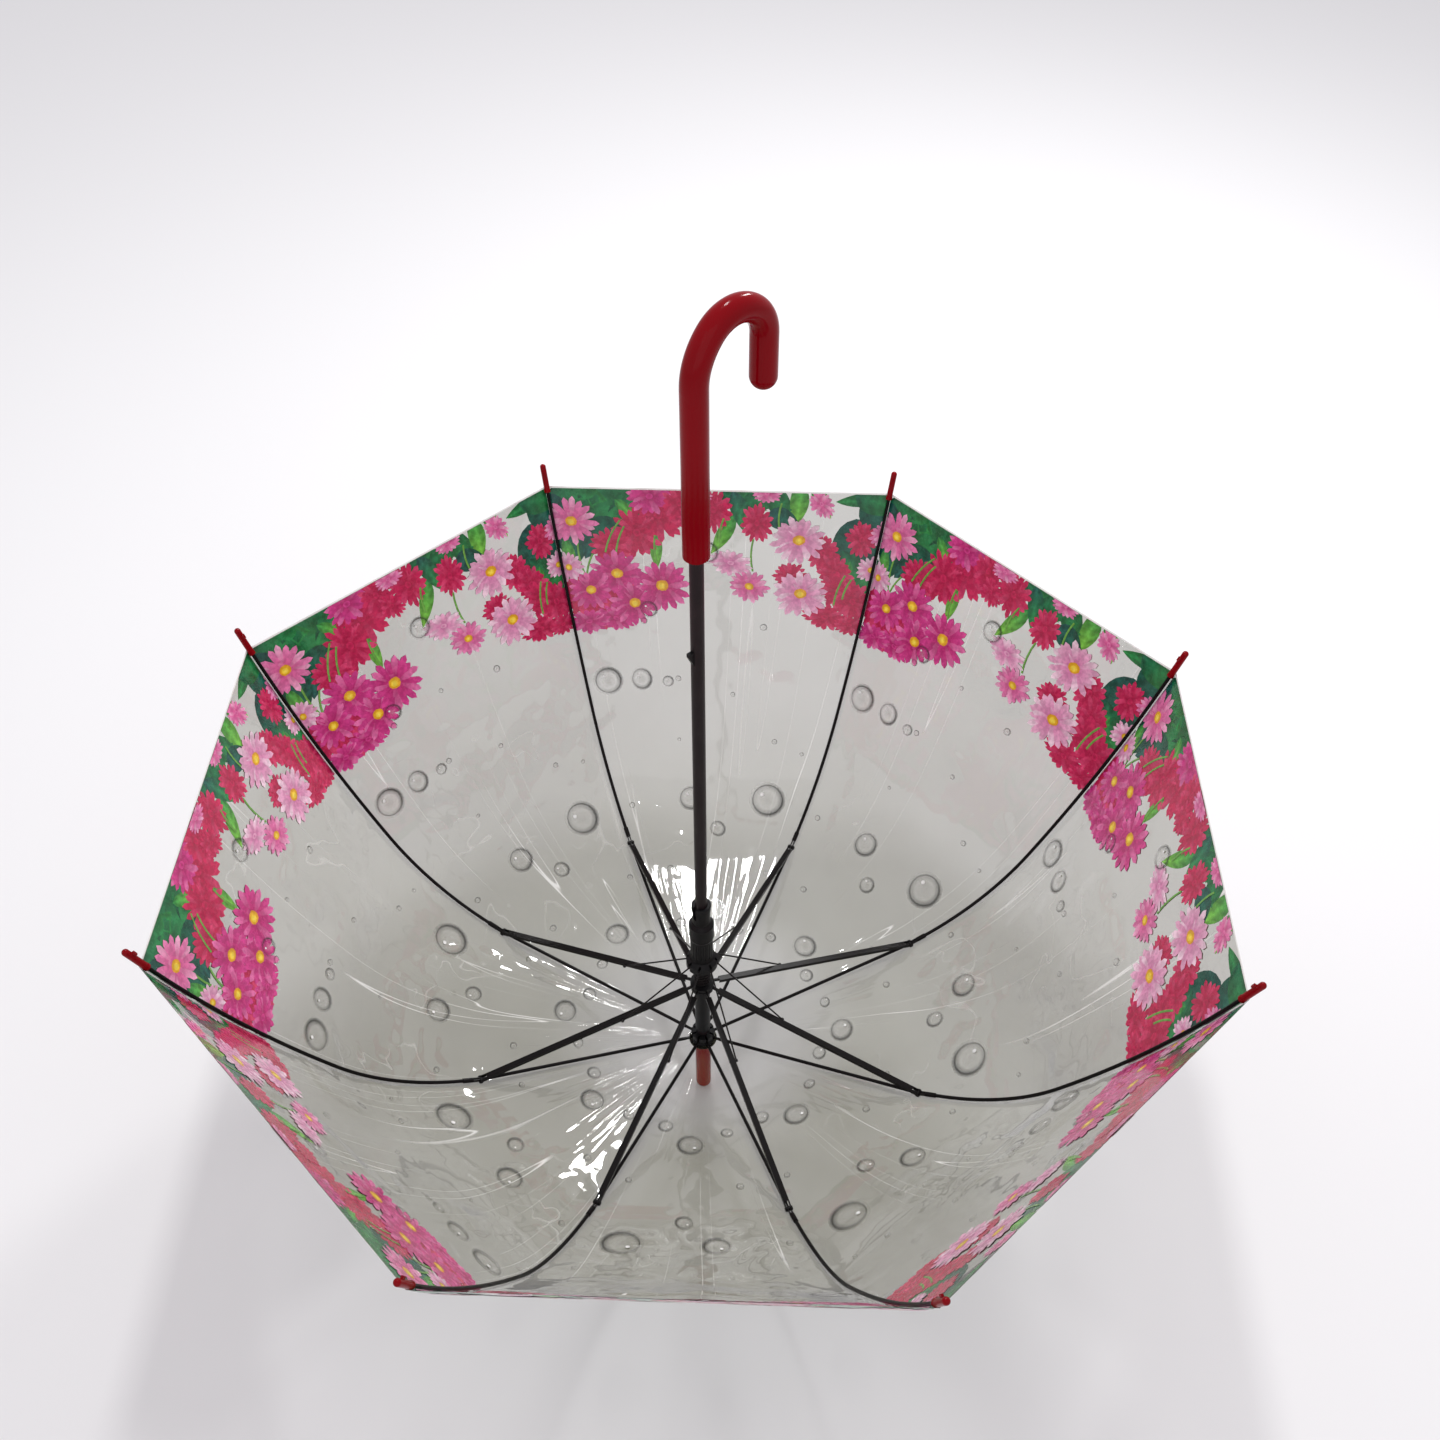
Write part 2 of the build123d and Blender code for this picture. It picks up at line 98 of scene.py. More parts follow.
def aim(thing, place, target):
    thing.location = place
    thing.rotation_euler = (Vector(target) - Vector(place)).to_track_quat("-Z", "Y").to_euler()
    scene.collection.objects.link(thing)


def softbox(name, place, target, size, power):
    lamp = bpy.data.lights.new(name, "AREA")
    lamp.shape = "RECTANGLE"
    lamp.size, lamp.size_y = size
    lamp.energy = power
    aim(bpy.data.objects.new(name, lamp), place, target)


softbox("top_softbox", (0.50, 0.54, 2.3), (0.0, 0.0, 0.1), (0.16, 0.40), 14)
softbox("side_softbox", (1.48, 0.67, 1.55), (0.0, 0.0, 0.1), (0.20, 0.5), 14)
softbox("front_softbox", (-1.6, -1.4, 1.6), (0.0, 0.0, 0.2), (2.2, 2.2), 7)

world = bpy.data.worlds.new("studio")
world.use_nodes = True
world.node_tree.nodes["Background"].inputs["Color"].default_value = (0.90, 0.88, 0.92, 1)
world.node_tree.nodes["Background"].inputs["Strength"].default_value = 0.88
scene.world = world
scene.view_settings.view_transform = "Standard"

# %% [markdown]
# The camera stands high on the side away from the crook's opening and looks down into the open canopy. It is
# aimed by a heading and a tilt, which are easier to adjust than a target.

# %% Camera
camera_data = bpy.data.cameras.new("studio_camera")
camera_data.lens = 40.5
camera_data.sensor_width = 36
camera = bpy.data.objects.new("studio_camera", camera_data)
heading, tilt = math.radians(47.0), math.radians(-46.5)
eye = Vector((-0.5378, -0.5994, 1.346))
look = Vector((math.cos(heading) * math.cos(tilt), math.sin(heading) * math.cos(tilt), math.sin(tilt)))
aim(camera, eye, eye + look)
scene.camera = camera
print("camera looks down", round(-math.degrees(tilt), 1), "degrees")

# %% [markdown]
# Every finish below is built from the same few parts: a Principled shader, noise that varies its colour and
# roughness, and a bump. These helpers keep the node code short. Sums of several steps are easier to read as
# nested calls than as a list of links, so the last three helpers return an output socket.

# %% Node helpers
def link(tree, source, target):
    tree.links.new(source, target)


def node(tree, kind, **settings):
    made = tree.nodes.new(kind)
    for key, value in settings.items():
        setattr(made, key, value)
    return made


def material(name, colour, roughness, metallic=0.0):
    made = bpy.data.materials.new(name)
    made.use_nodes = True
    shader = made.node_tree.nodes["Principled BSDF"]
    shader.inputs["Base Color"].default_value = (*colour, 1)
    shader.inputs["Roughness"].default_value = roughness
    shader.inputs["Metallic"].default_value = metallic
    shader.inputs["Specular IOR Level"].default_value = 0.25
    return made, made.node_tree, shader


def number(tree, operation, a, b=None):
    """One step of arithmetic; each input is a number or another node's output."""
    made = node(tree, "ShaderNodeMath", operation=operation)
    for socket, value in zip(made.inputs, (a, b)):
        if value is None:
            continue
        if isinstance(value, (int, float)):
            socket.default_value = value
        else:
            link(tree, value, socket)
    return made.outputs[0]


def ramp(tree, value, low, high, start=0.0, end=1.0):
    """A smooth step from start to end as the value goes from low to high."""
    made = node(tree, "ShaderNodeMapRange", interpolation_type="SMOOTHSTEP")
    for name, amount in (("From Min", low), ("From Max", high), ("To Min", start), ("To Max", end)):
        made.inputs[name].default_value = amount
    link(tree, value, made.inputs["Value"])
    return made.outputs[0]


def noise(tree, vector, scale, detail, distortion=0.0):
    made = node(tree, "ShaderNodeTexNoise")
    for name, amount in (("Scale", scale), ("Detail", detail), ("Distortion", distortion)):
        made.inputs[name].default_value = amount
    link(tree, vector, made.inputs["Vector"])
    return made.outputs["Fac"]


print("node helpers: link, node, material, number, ramp, noise")

# %% [markdown]
# Handling marks. Plastic, paint and wire all carry a slow cloud of wear and fine scratches, at different
# strengths. The scratches are drawn out along the shaft's direction. One shared node group makes the marks;
# it only passes on values, and the shader stays in each material.

# %% The shared handling marks
def handling_marks():
    """Object-space marks: a slow cloud, fine scratches drawn out along Z, and the height of both."""
    group = bpy.data.node_groups.new("handling_marks", "ShaderNodeTree")
    for name, default in (("Cloud Scale", 40.0), ("Scratch Scale", 900.0), ("Scratch Stretch", 0.06)):
        socket = group.interface.new_socket(name, in_out="INPUT", socket_type="NodeSocketFloat")
        socket.default_value = default
    for name in ("Cloud", "Scratches", "Height"):
        group.interface.new_socket(name, in_out="OUTPUT", socket_type="NodeSocketFloat")
    inside, outside = node(group, "NodeGroupInput"), node(group, "NodeGroupOutput")
    place = node(group, "ShaderNodeTexCoord")
    cloud = node(group, "ShaderNodeTexNoise")
    cloud.inputs["Detail"].default_value = 3
    link(group, place.outputs["Object"], cloud.inputs["Vector"])
    link(group, inside.outputs["Cloud Scale"], cloud.inputs["Scale"])
    stretch = node(group, "ShaderNodeCombineXYZ")
    stretch.inputs["X"].default_value = 1
    stretch.inputs["Y"].default_value = 1
    link(group, inside.outputs["Scratch Stretch"], stretch.inputs["Z"])
    long_way = node(group, "ShaderNodeVectorMath", operation="MULTIPLY")
    link(group, place.outputs["Object"], long_way.inputs[0])
    link(group, stretch.outputs[0], long_way.inputs[1])
    scratch = node(group, "ShaderNodeTexNoise")
    scratch.inputs["Detail"].default_value = 2
    link(group, long_way.outputs[0], scratch.inputs["Vector"])
    link(group, inside.outputs["Scratch Scale"], scratch.inputs["Scale"])
    narrow = node(group, "ShaderNodeMapRange")
    narrow.inputs["From Min"].default_value = 0.62
    narrow.inputs["From Max"].default_value = 0.72
    link(group, scratch.outputs["Fac"], narrow.inputs["Value"])
    height = node(group, "ShaderNodeMath", operation="SUBTRACT")
    link(group, cloud.outputs["Fac"], height.inputs[0])
    link(group, narrow.outputs[0], height.inputs[1])
    link(group, cloud.outputs["Fac"], outside.inputs["Cloud"])
    link(group, narrow.outputs[0], outside.inputs["Scratches"])
    link(group, height.outputs[0], outside.inputs["Height"])
    return group


MARKS = handling_marks()
MARK_DEPTH = 0.0002


def mark(made, tree, shader, low, high, colour_a, colour_b, bump, cloud=40.0, stretch=0.06):
    """Varies a finish between two colours and two roughnesses by its handling marks."""
    marks = node(tree, "ShaderNodeGroup", node_tree=MARKS)
    marks.inputs["Cloud Scale"].default_value = cloud
    marks.inputs["Scratch Stretch"].default_value = stretch
    blend = node(tree, "ShaderNodeMix", data_type="RGBA")
    blend.inputs[6].default_value = (*colour_a, 1)
    blend.inputs[7].default_value = (*colour_b, 1)
    link(tree, marks.outputs["Cloud"], blend.inputs["Factor"])
    link(tree, blend.outputs[2], shader.inputs["Base Color"])
    rough = node(tree, "ShaderNodeMapRange")
    rough.inputs["To Min"].default_value = low
    rough.inputs["To Max"].default_value = high
    link(tree, marks.outputs["Scratches"], rough.inputs["Value"])
    link(tree, rough.outputs[0], shader.inputs["Roughness"])
    relief = node(tree, "ShaderNodeBump")
    relief.inputs["Strength"].default_value = bump
    relief.inputs["Distance"].default_value = MARK_DEPTH
    link(tree, marks.outputs["Height"], relief.inputs["Height"])
    link(tree, relief.outputs["Normal"], shader.inputs["Normal"])
    return made


print("marks group puts out", [item.name for item in MARKS.interface.items_tree if item.in_out == "OUTPUT"])

# %% [markdown]
# The hard finishes. The handle, ferrule and tip caps are moulded in one deep red with a smooth gloss, so
# their marks are faint and their coat is thin. The shaft and ribs are thin paint on steel: black on the ribs
# and a little browner on the shaft. The runner, slider, crown, washer and catch are black nylon, which is
# duller. The pull wires, rings and spring are dark steel.

# %% Hard finishes
red, tree, shader = material("red_gloss_plastic", (0.27, 0.004, 0.016), 0.16)
shader.inputs["Specular IOR Level"].default_value = 0.06
shader.inputs["Coat Weight"].default_value = 0.08
shader.inputs["Coat Roughness"].default_value = 0.08
mark(red, tree, shader, 0.16, 0.26, (0.17, 0.0005, 0.003), (0.24, 0.001, 0.005), 0.05, cloud=18)

nylon, tree, shader = material("black_nylon", (0.012, 0.012, 0.013), 0.42)
shader.inputs["Specular IOR Level"].default_value = 0.14
mark(nylon, tree, shader, 0.36, 0.55, (0.004, 0.004, 0.005), (0.010, 0.010, 0.010), 0.35, cloud=160)

paint, tree, shader = material("black_rib_paint", (0.014, 0.012, 0.012), 0.34)
shader.inputs["Specular IOR Level"].default_value = 0.10
mark(paint, tree, shader, 0.30, 0.48, (0.003, 0.003, 0.003), (0.008, 0.006, 0.006), 0.2, cloud=90)

tube, tree, shader = material("dark_shaft_paint", (0.030, 0.022, 0.022), 0.36)
shader.inputs["Specular IOR Level"].default_value = 0.16
shaft_dark, shaft_light = (0.012, 0.009, 0.010), (0.024, 0.018, 0.019)
mark(tube, tree, shader, 0.32, 0.5, shaft_dark, shaft_light, 0.2, cloud=60, stretch=0.02)

steel, tree, shader = material("dark_steel_wire", (0.02, 0.02, 0.021), 0.35, metallic=0.6)
mark(steel, tree, shader, 0.3, 0.5, (0.008, 0.007, 0.007), (0.022, 0.020, 0.020), 0.3, cloud=200)

FINISHES = {
    "handle": red, "ferrule": red, "cap": red, "shaft": tube, "rib": paint, "rib_end": paint,
    "stretcher": paint, "washer": nylon, "crown": nylon, "slider": nylon, "runner": nylon, "catch": nylon,
    "pull_wire": steel, "crown_wire": steel, "slider_wire": steel,
}
for name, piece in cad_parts.items():
    finish = FINISHES.get(name.rstrip("_12345678"))
    if finish:
        for place in piece.material_slots:
            place.material = finish
print("finished", len(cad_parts), "frame pieces")

# %% [markdown]
# The line of a rib. A rib leaves the crown at a gentle slope, reaches its joint, and from there bends
# upwards in two arcs to its cap. A place on it is named by its length from the joint, negative before it.

# %% The rib's line
RIBS = 8
GORE_ANGLE = 360 / RIBS
HALF = math.pi / RIBS
JOINT = Vector((0.203, 0.040))
PIVOT_R = 0.0085
TIP = Vector((0.425, 0.338))
CAP = 0.027
CHORD_SLOPE = math.atan2(TIP.y - JOINT.y, TIP.x - JOINT.x)
SLOPES = [CHORD_SLOPE + math.radians(bend) for bend in (-31.3, 2.7, 14.2)]
LEAD = 0.016
CROWN_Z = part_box("crown_wire")[0][2] / 2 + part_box("crown_wire")[1][2] / 2
INNER_SLOPE = math.atan2(JOINT.y, JOINT.x - PIVOT_R)


def towards(slope):
    return Vector((math.cos(slope), math.sin(slope)))


def arc_chord(low, high):
    half = (high - low) / 2
    return towards(low + half) * (math.sin(half) / half if half else 1)


def arc_lengths():
    first, second = arc_chord(*SLOPES[:2]), arc_chord(*SLOPES[1:])
    reach = TIP - towards(SLOPES[2]) * CAP - towards(SLOPES[0]) * LEAD - JOINT
    det = first.x * second.y - second.x * first.y
    return (reach.x * second.y - reach.y * second.x) / det, (first.x * reach.y - first.y * reach.x) / det


ARC_A, ARC_B = arc_lengths()
MIDDLE = LEAD + ARC_A
HEM = MIDDLE + ARC_B + 0.005


def slope_at(s):
    if s <= 0:
        return INNER_SLOPE
    if s < MIDDLE:
        return SLOPES[0] + (SLOPES[1] - SLOPES[0]) * max(s - LEAD, 0) / ARC_A
    return SLOPES[1] + (SLOPES[2] - SLOPES[1]) * min(s - MIDDLE, ARC_B) / ARC_B


def rib_line(s, out=0.0):
    """Distance from the shaft's axis and height above the crown, at length s past the joint."""
    place = JOINT + towards(INNER_SLOPE) * min(s, 0)
    place += towards(SLOPES[0]) * min(max(s, 0), LEAD)
    a, b = min(max(s - LEAD, 0), ARC_A), min(max(s - MIDDLE, 0), ARC_B)
    place += arc_chord(SLOPES[0], slope_at(LEAD + a) if a else SLOPES[0]) * a
    place += arc_chord(SLOPES[1], slope_at(MIDDLE + b)) * b
    place += towards(SLOPES[2]) * max(s - MIDDLE - ARC_B, 0)
    slope = slope_at(s)
    return place + Vector((math.sin(slope), -math.cos(slope))) * out


print("rib beyond its joint", round(MIDDLE + ARC_B, 3), "m")

# %% [markdown]
# The film follows the rib's line a few millimetres outside it. It is eased over the joint, and near the crown
# it is drawn in under the washer. A place on it is named by its length along the rib and by how far across
# the gore it is, from -1 at one rib to 1 at the next. Between two ribs the stretched film is straight.

# %% The film's surface
FILM_OUT = 0.00345
EASE = 0.014
DRAWN_IN = -0.165
WASHER_RIM = -0.1958
RIM = Vector((0.0125, -0.0052))


def film_line(s, out=0.0):
    """The film's own line at a rib, given as the rib's is."""
    out += FILM_OUT
    if s > DRAWN_IN:
        return (rib_line(s - EASE, out) + rib_line(s, out) + rib_line(s + EASE, out)) / 3
    if s > WASHER_RIM:
        return rib_line(DRAWN_IN, out).lerp(RIM, (DRAWN_IN - s) / (DRAWN_IN - WASHER_RIM))
    return RIM + Vector((s - WASHER_RIM, 0))


def on_film(across, s, out=0.0):
    """A point of the gore that is centred on +X."""
    line = film_line(s, out)
    return Vector((line.x * math.cos(HALF), across * line.x * math.sin(HALF), CROWN_Z + line.y))


print("hem radius", round(film_line(HEM).x, 3), "m")

# %% [markdown]
# The film. Real film this thin is one welded sheet. When the umbrella folds it gathers onto the ribs, and
# each strip of it can only follow the rib it is nearest. So each gore is made of six strips: three along its
# left rib and three along its right one, which meet edge to edge and look like one sheet while it is open.

# %% Strips of film
HEM_MARGIN = 0.0018
SPANS = {"inner": (-0.2015, 0.0), "bend": (0.0, MIDDLE), "rim": (MIDDLE, HEM)}
ROWS = {"inner": 26, "bend": 20, "rim": 26}


def film_strip(span, side):
    """A strip of the gore centred on +X, from its middle line to the rib on one side."""
    low, high = SPANS[span]
    shape = bmesh.new()
    bmesh.ops.create_grid(shape, x_segments=10, y_segments=ROWS[span], size=0.5, calc_uvs=False)
    place = shape.loops.layers.uv.new("film")
    for vert in shape.verts:
        across, along = side * (vert.co.x + 0.5), low + (high - low) * (vert.co.y + 0.5)
        vert.co = (across, along, 0)
    for face in shape.faces:
        for loop in face.loops:
            loop[place].uv = (loop.vert.co.x, loop.vert.co.y)
    for vert in shape.verts:
        vert.co = on_film(vert.co.x, vert.co.y)
    bmesh.ops.recalc_face_normals(shape, faces=shape.faces)
    if next(iter(shape.faces)).normal.x > 0:
        bmesh.ops.reverse_faces(shape, faces=shape.faces)
    return shape


print("strips along a rib:", {span: round(high - low, 3) for span, (low, high) in SPANS.items()})

# %% [markdown]
# A strip rides its rib: the inner strip hangs from the rib itself and the others from the rib's end piece,
# and each strip gets a mesh of its own.

# %% A strip rides its rib
END_STEP = 0.001


def gather(piece, rib, span):
    """A strip rides its rib, or the rib's end piece, and gets a mesh of its own."""
    low, high = SPANS[span]
    middle = (low + high) / 2
    line = rib_line(high - END_STEP) - rib_line(low + END_STEP)
    centre = film_line(middle)
    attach(piece, f"rib_{rib}" if span == "inner" else f"rib_end_{rib}")
    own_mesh(piece)


# %% [markdown]
# The film's creases. Sharp pleats and long hairlines run out from the crown, and soft crumples lie in patches
# further out. The first two come from noise on the direction round the shaft, the crumples from noise on the
# place itself. All are read in the object's own space, so they need no unwrapping.

# %% The film's creases
PLEAT_HEIGHTS = (0.046, 0.002)
FOLD_HEIGHT = 0.006
CLOUD_HEIGHT = 0.003
LINE_WIDTH = 0.010
SHORT_LINES = 0.35


def thin_lines(tree, value, width, where):
    """Hairlines along the contours of a noise, kept only where a mask is on."""
    off = number(tree, "ABSOLUTE", number(tree, "SUBTRACT", value, 0.5))
    return number(tree, "MULTIPLY", ramp(tree, off, 0.0, width, 1.0, 0.0), where)


def film_creases():
    """The creases' height, the whitened hairlines, a slow cloud, and the nearness of the crown."""
    group = bpy.data.node_groups.new("film_creases", "ShaderNodeTree")
    for name in ("Height", "Lines", "Cloud", "Crown"):
        group.interface.new_socket(name, in_out="OUTPUT", socket_type="NodeSocketFloat")
    outside = node(group, "NodeGroupOutput")
    place = node(group, "ShaderNodeTexCoord").outputs["Object"]
    split = node(group, "ShaderNodeSeparateXYZ")
    link(group, place, split.inputs[0])
    x, y = split.outputs[0], split.outputs[1]
    squares = number(group, "ADD", number(group, "MULTIPLY", x, x), number(group, "MULTIPLY", y, y))
    radius = number(group, "SQRT", squares)
    safe = number(group, "MAXIMUM", radius, 0.004)
    ray = node(group, "ShaderNodeCombineXYZ")
    link(group, number(group, "DIVIDE", x, safe), ray.inputs[0])
    link(group, number(group, "DIVIDE", y, safe), ray.inputs[1])
    link(group, number(group, "MULTIPLY", radius, 0.7), ray.inputs[2])
    ray = ray.outputs[0]
    straight = node(group, "ShaderNodeVectorMath", operation="MULTIPLY")
    straight.inputs[1].default_value = (1, 1, 0.2)
    link(group, ray, straight.inputs[0])
    pulled = noise(group, ray, 11, 1.5, 0.1)
    sector = ramp(group, noise(group, ray, 2.6, 0), 0.46, 0.60)
    near = number(group, "MULTIPLY", ramp(group, radius, 0.05, 0.22, *PLEAT_HEIGHTS), sector)
    soft = noise(group, place, 8, 3)
    crumple = noise(group, place, 15, 2, 0.6)
    outer = ramp(group, radius, 0.10, 0.26)
    patch = number(group, "MULTIPLY", ramp(group, soft, 0.48, 0.62), outer)
    ridge = number(group, "ABSOLUTE", number(group, "SUBTRACT", pulled, 0.5))
    pleats = number(group, "MULTIPLY", number(group, "MULTIPLY", ridge, near), safe)
    folds = number(group, "MULTIPLY", number(group, "MULTIPLY", crumple, patch), FOLD_HEIGHT)
    creased = number(group, "ADD", pleats, folds)
    total = number(group, "ADD", creased, number(group, "MULTIPLY", soft, CLOUD_HEIGHT))
    bundles = ramp(group, noise(group, ray, 5, 0), 0.45, 0.58)
    drawn = noise(group, straight.outputs[0], 19, 0, 0.1)
    long_lines = thin_lines(group, drawn, LINE_WIDTH, bundles)
    short_lines = thin_lines(group, crumple, LINE_WIDTH, patch)
    short_lines = number(group, "MULTIPLY", short_lines, SHORT_LINES)
    link(group, total, outside.inputs["Height"])
    link(group, number(group, "MAXIMUM", long_lines, short_lines), outside.inputs["Lines"])
    link(group, soft, outside.inputs["Cloud"])
    link(group, ramp(group, radius, 0.05, 0.15, 1.0, 0.0), outside.inputs["Crown"])
    return group


CREASES = film_creases()
print("creases group has", len(CREASES.nodes), "nodes")

# %% [markdown]
# The film's finish. It is a thin, warm grey and very glossy film, half see-through with a hard clear
# reflection. It is clearest round the crown. The welds along the ribs, the hem and the whitened hairlines are
# paler and a little denser than the rest.

# %% The film's finish
FILM_TINT = (0.155, 0.153, 0.080, 1)
DENSE_TINT = (0.86, 0.87, 0.82, 1)
COVER = 0.50
CLOUD_COVER = 0.14
EDGE_COVER = 0.35
CROWN_CLEAR = 0.36
DENSE_COVER = 0.25
WELD_DENSE = 0.35
LINE_DENSE = 0.9

film, tree, shader = material("clear_film", (0.05, 0.05, 0.035), 0.05)
creases = node(tree, "ShaderNodeGroup", node_tree=CREASES)
shader.inputs["Specular IOR Level"].default_value = 0.7
shader.inputs["Coat Weight"].default_value = 1.0
shader.inputs["Coat Roughness"].default_value = 0.03
relief = node(tree, "ShaderNodeBump")
relief.inputs["Strength"].default_value = 1.0
relief.inputs["Distance"].default_value = 1.0
link(tree, creases.outputs["Height"], relief.inputs["Height"])
link(tree, relief.outputs["Normal"], shader.inputs["Normal"])
link(tree, relief.outputs["Normal"], shader.inputs["Coat Normal"])
where = node(tree, "ShaderNodeUVMap", uv_map="film")
parts = node(tree, "ShaderNodeSeparateXYZ")
link(tree, where.outputs[0], parts.inputs[0])
weld = ramp(tree, number(tree, "ABSOLUTE", parts.outputs[0]), 0.978, 0.990)
hem = ramp(tree, parts.outputs[1], HEM - HEM_MARGIN, HEM - HEM_MARGIN / 2)
dense = number(tree, "MAXIMUM", number(tree, "MULTIPLY", weld, WELD_DENSE), hem)
lines = number(tree, "MULTIPLY", creases.outputs["Lines"], LINE_DENSE)
dense = number(tree, "MAXIMUM", dense, lines)
tint = node(tree, "ShaderNodeMix", data_type="RGBA")
tint.inputs[6].default_value = FILM_TINT
tint.inputs[7].default_value = DENSE_TINT
link(tree, dense, tint.inputs["Factor"])
link(tree, tint.outputs[2], shader.inputs["Base Color"])
edge = node(tree, "ShaderNodeLayerWeight")
edge.inputs["Blend"].default_value = 0.25
cover = number(tree, "ADD", number(tree, "MULTIPLY", creases.outputs["Cloud"], CLOUD_COVER), COVER)
cover = number(tree, "ADD", cover, number(tree, "MULTIPLY", edge.outputs["Fresnel"], EDGE_COVER))
cover = number(tree, "SUBTRACT", cover, number(tree, "MULTIPLY", creases.outputs["Crown"], CROWN_CLEAR))
cover = number(tree, "ADD", cover, number(tree, "MULTIPLY", dense, DENSE_COVER))
link(tree, cover, shader.inputs["Alpha"])
print("film finish has", len(tree.nodes), "nodes")

# %% [markdown]
# Now the strips are laid on the eight gores. The left and right strips of a gore ride different ribs.

# %% Lay the film
def lay(shape, name, finish, side, span, sheet):
    """Copies one gore's strip on to all eight gores."""
    low, high = SPANS[span]
    hand = "left" if side > 0 else "right"
    for gore in range(1, RIBS + 1):
        copy = shape.copy()
        turn = Matrix.Rotation(math.radians(GORE_ANGLE * gore), 3, "Z")
        bmesh.ops.rotate(copy, cent=(0, 0, 0), matrix=turn, verts=copy.verts)
        piece = finish_mesh(f"{name}_{span}_{gore}_{hand}", copy, smooth=True)
        piece.data.materials.append(finish)
        piece["side"] = side
        rib = gore % RIBS + 1 if side > 0 else gore
        if sheet:
            wide = film_line(high).x * math.sin(HALF)
            mean = (film_line(high).x + film_line(low).x) / 2 * math.sin(HALF)
            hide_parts(f"gore_{gore}")
        gather(piece, rib, span)
    shape.free()


for span in SPANS:
    for side in (-1, 1):
        lay(film_strip(span, side), "film", film, side, span, True)
print("laid", 6 * RIBS, "strips of film")

# %% [markdown]
# The print. Each gore carries the same border: daisies in magenta, crimson and pale pink among dark leaves,
# thick at its left rib, thin with open film at its middle, and thick again at its right rib. Water drops are
# printed over the clear part. Each petal, leaf and ring is a small flat face of its own colour, laid out flat
# in metres (across the gore and down from the hem), cut at the strips' edges and then wrapped on the film.
# The ink is laid on both faces of the film, because print on clear film shows equally well from both sides.

# %% A flat sheet of ink
import random
dice = random.Random(5)
ink = bmesh.new()
INK = ink.verts.layers.float_color.new("ink")
INK_RISE = 0.00006
INK_STEP = 0.0000035
PETAL_STEP = 0.0000010
stack = [0]


def spot(x, down):
    """Moves a flat shape's centre to its place on the gore, on top of what is already printed there."""
    stack[0] += 1
    return Matrix.Translation((x / 1000, down / 1000, INK_RISE + INK_STEP * stack[0]))


def turn_about(degrees):
    return Matrix.Rotation(math.radians(degrees), 4, "Z")


def shade(colour, amount):
    return [min(1, channel * amount) for channel in colour]


print("ink sheet starts", INK_RISE * 1000, "mm off the film")

# %% [markdown]
# A daisy is two rings of pointed petals with a round middle. A petal is darker at its root, and petals differ
# a little in length and tone. A flower that faces away is squeezed into an oval.

# %% Flowers
def petal(place, length, width, start, inner, outer):
    """A pointed petal that begins at start from the flower's middle, darker at its root."""
    made = bmesh.ops.create_circle(ink, cap_ends=True, radius=1, segments=8)["verts"]
    for vert in made:
        t = (vert.co.x + 1) / 2
        vert[INK] = (*[a + (b - a) * t for a, b in zip(inner, outer)], 1)
        vert.co.y *= width / 2 * (0.55 + 0.5 * t)
        vert.co.x = start + length * t
    bmesh.ops.transform(ink, matrix=place, verts=made)


def button(place, radius, colour, rim):
    """A round flower middle, darker at its rim."""
    made = bmesh.ops.create_circle(ink, cap_ends=True, cap_tris=True, radius=radius, segments=10)["verts"]
    for vert in made:
        vert[INK] = (*(rim if vert.co.length > radius / 2 else colour), 1)
    bmesh.ops.transform(ink, matrix=place, verts=made)


KINDS = {
    "magenta": ((0.42, 0.010, 0.12), (0.66, 0.055, 0.27), (0.80, 0.18, 0.42)),
    "crimson": ((0.40, 0.008, 0.055), (0.60, 0.020, 0.10), (0.72, 0.060, 0.17)),
    "pink": ((0.60, 0.07, 0.24), (0.78, 0.22, 0.44), (0.86, 0.42, 0.60)),
    "pale": ((0.62, 0.16, 0.36), (0.82, 0.44, 0.60), (0.90, 0.70, 0.78)),
}
PETAL_RINGS = ((17, 1.0), (13, 0.80))
YELLOW = (0.86, 0.58, 0.03)
AMBER = (0.70, 0.30, 0.01)


def daisy(x, down, radius, kind, middle=True, squeeze=1.0, tilt=0.0):
    """A many-petalled flower; squeeze and tilt turn it away from the viewer."""
    dark, body, light = KINDS[kind]
    lean = turn_about(tilt) @ Matrix.Diagonal((1, squeeze, 1, 1))
    size = radius / 1000
    for ring, (count, reach) in enumerate(PETAL_RINGS):
        place = spot(x, down) @ lean
        for i in range(count):
            angle = 360 * (i + 0.5 * ring + dice.uniform(-0.2, 0.2)) / count
            length = size * reach * dice.uniform(0.94, 1.14) - size * 0.08
            outer = shade(light if (i + ring) % 3 == 0 else body, dice.uniform(0.85, 1.1))
            rise = Matrix.Translation((0, 0, PETAL_STEP * (i % 3)))
            petal(place @ rise @ turn_about(angle), length, size * 0.34, size * 0.08, dark, outer)
    if not middle:
        button(spot(x, down) @ lean, size * 0.16, dark, body)
    else:
        button(spot(x, down) @ lean, size * 0.24, YELLOW, AMBER)
        shine = spot(x, down) @ lean @ Matrix.Translation((0, size * 0.03, 0))
        button(shine, size * 0.13, (0.95, 0.74, 0.10), YELLOW)


print("flower inks:", list(KINDS))

# %% [markdown]
# A leaf is a small grid whose rows swell and narrow, with a pale midrib. A stalk is one thin bent strip.

